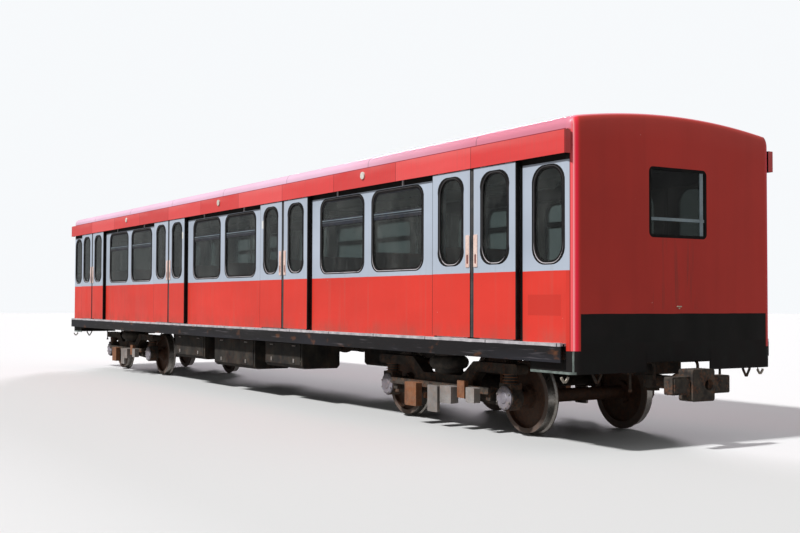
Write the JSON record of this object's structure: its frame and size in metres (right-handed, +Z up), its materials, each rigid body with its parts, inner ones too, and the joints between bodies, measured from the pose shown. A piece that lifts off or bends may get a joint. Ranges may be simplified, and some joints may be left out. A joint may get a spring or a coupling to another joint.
{
  "type": "metro car",
  "caption": "Metro trailer car: hollow cabin with curved roof, outside-hung sliding doors along both sides, underfloor gear and a bogie under each end.",
  "frame": {"origin": "under the middle of the car, on the level that the wheel flanges stand on; the rail heads are 28 mm higher", "axes": "+X along the car towards its front end, +Y to its left side, +Z up"},
  "size_m": [18.8, 3.19, 3.6001],
  "materials": {
    "panel_paint": "faded satin",
    "door_paint": "faded satin",
    "roof_paint": "faded satin",
    "black_paint": "dull",
    "box_paint": "dull",
    "frame_steel": "dull, dusty",
    "floor_covering": "dull",
    "lining": "satin",
    "window_rubber": "dull",
    "window_glass": "gloss, hazy",
    "screen_glass": "gloss",
    "bench_covering": "matt",
    "pole_steel": "brushed",
    "lamp_lens": "gloss",
    "bare_steel": "galvanised",
    "cast_parts": "dull, rusty",
    "spring_rubber": "dull",
    "wheel_steel": "rusty web, bright tread"
  },
  "bodies": {
    "car": {"air_tanks": "frame_steel", "benches": "bench_covering", "cantrails": "black_paint", "ceiling": "lining", "door_lamps": "lamp_lens", "door_sills": "black_paint", "end_aprons": "black_paint", "end_fittings": "bare_steel", "end_walls": "panel_paint", "equipment_boxes": "box_paint", "fixed_glass": "window_glass", "floor_plate": "floor_covering", "grab_poles": "pole_steel", "roof_shell": "roof_paint", "screens": "screen_glass", "side_panels": "panel_paint", "track_covers": "panel_paint", "underframe": "frame_steel", "window_frames": "window_rubber"},
    "door_1_left_forward": {"door_1_left_forward": "door_paint"},
    "door_1_left_rearward": {"door_1_left_rearward": "door_paint"},
    "door_1_right_forward": {"door_1_right_forward": "door_paint"},
    "door_1_right_rearward": {"door_1_right_rearward": "door_paint"},
    "door_2_left_forward": {"door_2_left_forward": "door_paint"},
    "door_2_left_rearward": {"door_2_left_rearward": "door_paint"},
    "door_2_right_forward": {"door_2_right_forward": "door_paint"},
    "door_2_right_rearward": {"door_2_right_rearward": "door_paint"},
    "door_3_left_forward": {"door_3_left_forward": "door_paint"},
    "door_3_left_rearward": {"door_3_left_rearward": "door_paint"},
    "door_3_right_forward": {"door_3_right_forward": "door_paint"},
    "door_3_right_rearward": {"door_3_right_rearward": "door_paint"},
    "door_4_left_forward": {"door_4_left_forward": "door_paint"},
    "door_4_left_rearward": {"door_4_left_rearward": "door_paint"},
    "door_4_right_forward": {"door_4_right_forward": "door_paint"},
    "door_4_right_rearward": {"door_4_right_rearward": "door_paint"},
    "bogie_front": {"bogie_frame_front": "frame_steel", "axle_boxes_front": "cast_parts", "air_springs_front": "spring_rubber"},
    "wheelset_front_outer": {"wheelset_front_outer": "wheel_steel"},
    "wheelset_front_inner": {"wheelset_front_inner": "wheel_steel"},
    "coupler_front": {"coupler_front": "cast_parts"},
    "bogie_rear": {"bogie_frame_rear": "frame_steel", "axle_boxes_rear": "cast_parts", "air_springs_rear": "spring_rubber"},
    "wheelset_rear_outer": {"wheelset_rear_outer": "wheel_steel"},
    "wheelset_rear_inner": {"wheelset_rear_inner": "wheel_steel"},
    "coupler_rear": {"coupler_rear": "cast_parts"}
  },
  "joints": [
    {"name": "door_1_left_forward_slide", "type": "slide", "parent": "car", "child": "door_1_left_forward", "axis": [1, 0, 0], "range_m": [0, 0.68]},
    {"name": "door_1_left_rearward_slide", "type": "slide", "parent": "car", "child": "door_1_left_rearward", "axis": [-1, 0, 0], "range_m": [0, 0.68]},
    {"name": "door_1_right_forward_slide", "type": "slide", "parent": "car", "child": "door_1_right_forward", "axis": [1, 0, 0], "range_m": [0, 0.68]},
    {"name": "door_1_right_rearward_slide", "type": "slide", "parent": "car", "child": "door_1_right_rearward", "axis": [-1, 0, 0], "range_m": [0, 0.68]},
    {"name": "door_2_left_forward_slide", "type": "slide", "parent": "car", "child": "door_2_left_forward", "axis": [1, 0, 0], "range_m": [0, 0.68]},
    {"name": "door_2_left_rearward_slide", "type": "slide", "parent": "car", "child": "door_2_left_rearward", "axis": [-1, 0, 0], "range_m": [0, 0.68]},
    {"name": "door_2_right_forward_slide", "type": "slide", "parent": "car", "child": "door_2_right_forward", "axis": [1, 0, 0], "range_m": [0, 0.68]},
    {"name": "door_2_right_rearward_slide", "type": "slide", "parent": "car", "child": "door_2_right_rearward", "axis": [-1, 0, 0], "range_m": [0, 0.68]},
    {"name": "door_3_left_forward_slide", "type": "slide", "parent": "car", "child": "door_3_left_forward", "axis": [1, 0, 0], "range_m": [0, 0.68]},
    {"name": "door_3_left_rearward_slide", "type": "slide", "parent": "car", "child": "door_3_left_rearward", "axis": [-1, 0, 0], "range_m": [0, 0.68]},
    {"name": "door_3_right_forward_slide", "type": "slide", "parent": "car", "child": "door_3_right_forward", "axis": [1, 0, 0], "range_m": [0, 0.68]},
    {"name": "door_3_right_rearward_slide", "type": "slide", "parent": "car", "child": "door_3_right_rearward", "axis": [-1, 0, 0], "range_m": [0, 0.68]},
    {"name": "door_4_left_forward_slide", "type": "slide", "parent": "car", "child": "door_4_left_forward", "axis": [1, 0, 0], "range_m": [0, 0.68]},
    {"name": "door_4_left_rearward_slide", "type": "slide", "parent": "car", "child": "door_4_left_rearward", "axis": [-1, 0, 0], "range_m": [0, 0.68]},
    {"name": "door_4_right_forward_slide", "type": "slide", "parent": "car", "child": "door_4_right_forward", "axis": [1, 0, 0], "range_m": [0, 0.68]},
    {"name": "door_4_right_rearward_slide", "type": "slide", "parent": "car", "child": "door_4_right_rearward", "axis": [-1, 0, 0], "range_m": [0, 0.68]},
    {"name": "bogie_front_yaw", "type": "hinge", "parent": "car", "child": "bogie_front", "pos_m": [6.105, 0, 0.55], "axis": [0, 0, 1], "range_deg": [-4, 4]},
    {"name": "wheelset_front_outer_spin", "type": "hinge", "parent": "bogie_front", "child": "wheelset_front_outer", "pos_m": [7.405, 0, 0.453], "axis": [0, 1, 0], "continuous": true},
    {"name": "wheelset_front_inner_spin", "type": "hinge", "parent": "bogie_front", "child": "wheelset_front_inner", "pos_m": [4.805, 0, 0.453], "axis": [0, 1, 0], "continuous": true},
    {"name": "coupler_front_swing", "type": "hinge", "parent": "car", "child": "coupler_front", "pos_m": [8.65, 0, 0.69], "axis": [0, 0, 1], "range_deg": [-12, 12]},
    {"name": "bogie_rear_yaw", "type": "hinge", "parent": "car", "child": "bogie_rear", "pos_m": [-6.105, 0, 0.55], "axis": [0, 0, 1], "range_deg": [-4, 4]},
    {"name": "wheelset_rear_outer_spin", "type": "hinge", "parent": "bogie_rear", "child": "wheelset_rear_outer", "pos_m": [-7.405, 0, 0.453], "axis": [0, 1, 0], "continuous": true},
    {"name": "wheelset_rear_inner_spin", "type": "hinge", "parent": "bogie_rear", "child": "wheelset_rear_inner", "pos_m": [-4.805, 0, 0.453], "axis": [0, 1, 0], "continuous": true},
    {"name": "coupler_rear_swing", "type": "hinge", "parent": "car", "child": "coupler_rear", "pos_m": [-8.65, 0, 0.69], "axis": [0, 0, 1], "range_deg": [-12, 12]}
  ],
  "couplings": [
    {"joint": "door_1_left_rearward_slide", "follows": "door_1_left_forward_slide", "ratio": 1},
    {"joint": "door_1_right_rearward_slide", "follows": "door_1_right_forward_slide", "ratio": 1},
    {"joint": "door_2_left_rearward_slide", "follows": "door_2_left_forward_slide", "ratio": 1},
    {"joint": "door_2_right_rearward_slide", "follows": "door_2_right_forward_slide", "ratio": 1},
    {"joint": "door_3_left_rearward_slide", "follows": "door_3_left_forward_slide", "ratio": 1},
    {"joint": "door_3_right_rearward_slide", "follows": "door_3_right_forward_slide", "ratio": 1},
    {"joint": "door_4_left_rearward_slide", "follows": "door_4_left_forward_slide", "ratio": 1},
    {"joint": "door_4_right_rearward_slide", "follows": "door_4_right_forward_slide", "ratio": 1}
  ]
}
